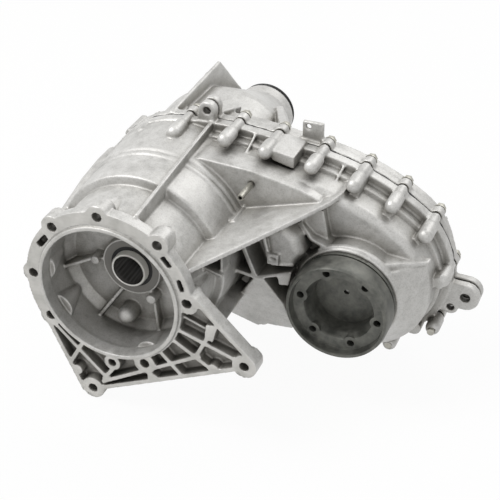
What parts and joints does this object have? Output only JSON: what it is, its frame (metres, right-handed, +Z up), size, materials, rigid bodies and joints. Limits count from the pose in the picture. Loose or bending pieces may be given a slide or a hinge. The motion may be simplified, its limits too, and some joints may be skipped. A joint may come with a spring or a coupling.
{
  "type": "transfer case",
  "caption": "Two-speed chain-driven transfer case: split cast housing with gearbox adapter, planetary range set, clutch, chain, front output flange and rear tail.",
  "frame": {"origin": "centre of the round opening in the adapter, on the input axis and in the plane of the adapter's front face", "axes": "+Y runs along the shafts to the rear of the vehicle, +X to the side of the front output, +Z up"},
  "size_m": [0.4515, 0.446, 0.2725],
  "materials": {
    "cast_aluminium": "cast, matt, lightly blasted",
    "machined_steel": "turned, oiled",
    "gear_steel": "ground and oiled",
    "dark_steel": "black phosphate",
    "plated_steel": "bright zinc",
    "bearing_steel": "ground bright",
    "seal_rubber": "moulded, matt",
    "sealant": "cured sealant",
    "friction_lining": "paper lining",
    "copper_coil": "painted coil housing",
    "black_plastic": "glass-filled nylon",
    "bronze": "sintered bronze"
  },
  "bodies": {
    "case": {"front_case": "cast_aluminium", "rear_case": "cast_aluminium", "case_gasket": "sealant", "case_bolts": "plated_steel", "case_dowels": "machined_steel", "fill_plug": "plated_steel", "drain_plug": "plated_steel", "breather_tube": "plated_steel", "ring_gear": "gear_steel", "input_bearing_outer_ring": "bearing_steel", "input_snap_ring": "dark_steel", "input_seal": "seal_rubber", "drive_chain": "gear_steel", "front_output_bearing_outer_ring": "bearing_steel", "front_output_snap_ring": "dark_steel", "stub_bearing_outer_ring": "bearing_steel", "front_output_seal": "seal_rubber", "clutch_coil": "copper_coil", "oil_pump_housing": "machined_steel", "oil_pickup": "black_plastic", "shift_shaft_seal": "seal_rubber", "rear_bearing_outer_ring": "bearing_steel", "rear_snap_ring": "dark_steel", "tail_bushing": "bronze", "rear_output_seal": "seal_rubber", "chip_magnet": "dark_steel"},
    "input": {"input_shaft": "gear_steel", "input_bearing_inner_ring": "bearing_steel", "pilot_bearing": "bronze"},
    "carrier": {"planet_carrier": "gear_steel", "planet_pins": "machined_steel"},
    "planet_1": {"planet_gear_1": "gear_steel"},
    "planet_2": {"planet_gear_2": "gear_steel"},
    "planet_3": {"planet_gear_3": "gear_steel"},
    "main_output": {"output_shaft": "machined_steel", "clutch_hub": "machined_steel", "clutch_friction_plates": "friction_lining", "clutch_ramp_plate": "gear_steel", "oil_pump_inner_rotor": "gear_steel", "rear_bearing_inner_ring": "bearing_steel"},
    "armature": {"clutch_armature": "gear_steel"},
    "sleeve": {"range_sleeve": "gear_steel"},
    "front_drive": {"drive_sprocket": "gear_steel", "clutch_drum": "machined_steel", "clutch_steel_plates": "machined_steel", "sprocket_needle_bearing": "bearing_steel"},
    "pressure_plate": {"clutch_pressure_plate": "machined_steel"},
    "pump_ring": {"oil_pump_outer_rotor": "gear_steel"},
    "front_output": {"front_output_shaft": "machined_steel", "front_output_flange": "dark_steel", "flange_nut": "plated_steel", "flange_cup_cover": "dark_steel", "flange_dust_shield": "dark_steel", "driven_sprocket": "gear_steel", "front_output_bearing_inner_ring": "bearing_steel", "stub_bearing_inner_ring": "bearing_steel"},
    "shift": {"shift_shaft": "machined_steel"},
    "fork": {"range_fork": "cast_aluminium"}
  },
  "joints": [
    {"name": "input_spin", "type": "hinge", "parent": "case", "child": "input", "pos_m": [0, 0.075, 0], "axis": [0, 1, 0], "continuous": true},
    {"name": "carrier_spin", "type": "hinge", "parent": "case", "child": "carrier", "pos_m": [0, 0.105, 0], "axis": [0, 1, 0], "continuous": true},
    {"name": "planet_1_spin", "type": "hinge", "parent": "carrier", "child": "planet_1", "pos_m": [0.05625, 0.105, 0], "axis": [0, 1, 0], "continuous": true},
    {"name": "planet_2_spin", "type": "hinge", "parent": "carrier", "child": "planet_2", "pos_m": [-0.02813, 0.105, 0.04871], "axis": [0, 1, 0], "continuous": true},
    {"name": "planet_3_spin", "type": "hinge", "parent": "carrier", "child": "planet_3", "pos_m": [-0.02813, 0.105, -0.04871], "axis": [0, 1, 0], "continuous": true},
    {"name": "output_spin", "type": "hinge", "parent": "case", "child": "main_output", "pos_m": [0, 0.33, 0], "axis": [0, 1, 0], "continuous": true},
    {"name": "armature_pull", "type": "slide", "parent": "main_output", "child": "armature", "axis": [0, 1, 0], "range_m": [0, 0.0015]},
    {"name": "sleeve_slide", "type": "slide", "parent": "main_output", "child": "sleeve", "axis": [0, 1, 0], "range_m": [0, 0.013]},
    {"name": "front_drive_spin", "type": "hinge", "parent": "case", "child": "front_drive", "pos_m": [0, 0.193, 0], "axis": [0, 1, 0], "continuous": true},
    {"name": "clutch_apply", "type": "slide", "parent": "front_drive", "child": "pressure_plate", "axis": [0, -1, 0], "range_m": [0, 0.002]},
    {"name": "pump_ring_spin", "type": "hinge", "parent": "case", "child": "pump_ring", "pos_m": [-0.0025, 0.295, 0], "axis": [0, 1, 0], "continuous": true},
    {"name": "front_output_spin", "type": "hinge", "parent": "case", "child": "front_output", "pos_m": [0.214, 0.156, -0.028], "axis": [0, 1, 0], "continuous": true},
    {"name": "shift_turn", "type": "hinge", "parent": "case", "child": "shift", "pos_m": [-0.088, 0.19, 0.034], "axis": [0, -1, 0], "range_deg": [0, 120]},
    {"name": "fork_slide", "type": "slide", "parent": "case", "child": "fork", "axis": [0, 1, 0], "range_m": [0, 0.013]}
  ],
  "couplings": [
    {"joint": "carrier_spin", "follows": "input_spin", "ratio": 0.36667},
    {"joint": "planet_1_spin", "follows": "input_spin", "ratio": -1.7417},
    {"joint": "planet_2_spin", "follows": "input_spin", "ratio": -1.7417},
    {"joint": "planet_3_spin", "follows": "input_spin", "ratio": -1.7417},
    {"joint": "output_spin", "follows": "input_spin", "ratio": 1},
    {"joint": "pump_ring_spin", "follows": "input_spin", "ratio": 0.85714},
    {"joint": "front_drive_spin", "follows": "front_output_spin", "ratio": 1},
    {"joint": "shift_turn", "follows": "fork_slide", "rad_per_m": 161.11},
    {"joint": "sleeve_slide", "follows": "fork_slide", "ratio": 1},
    {"joint": "clutch_apply", "follows": "armature_pull", "ratio": 1.3333}
  ]
}
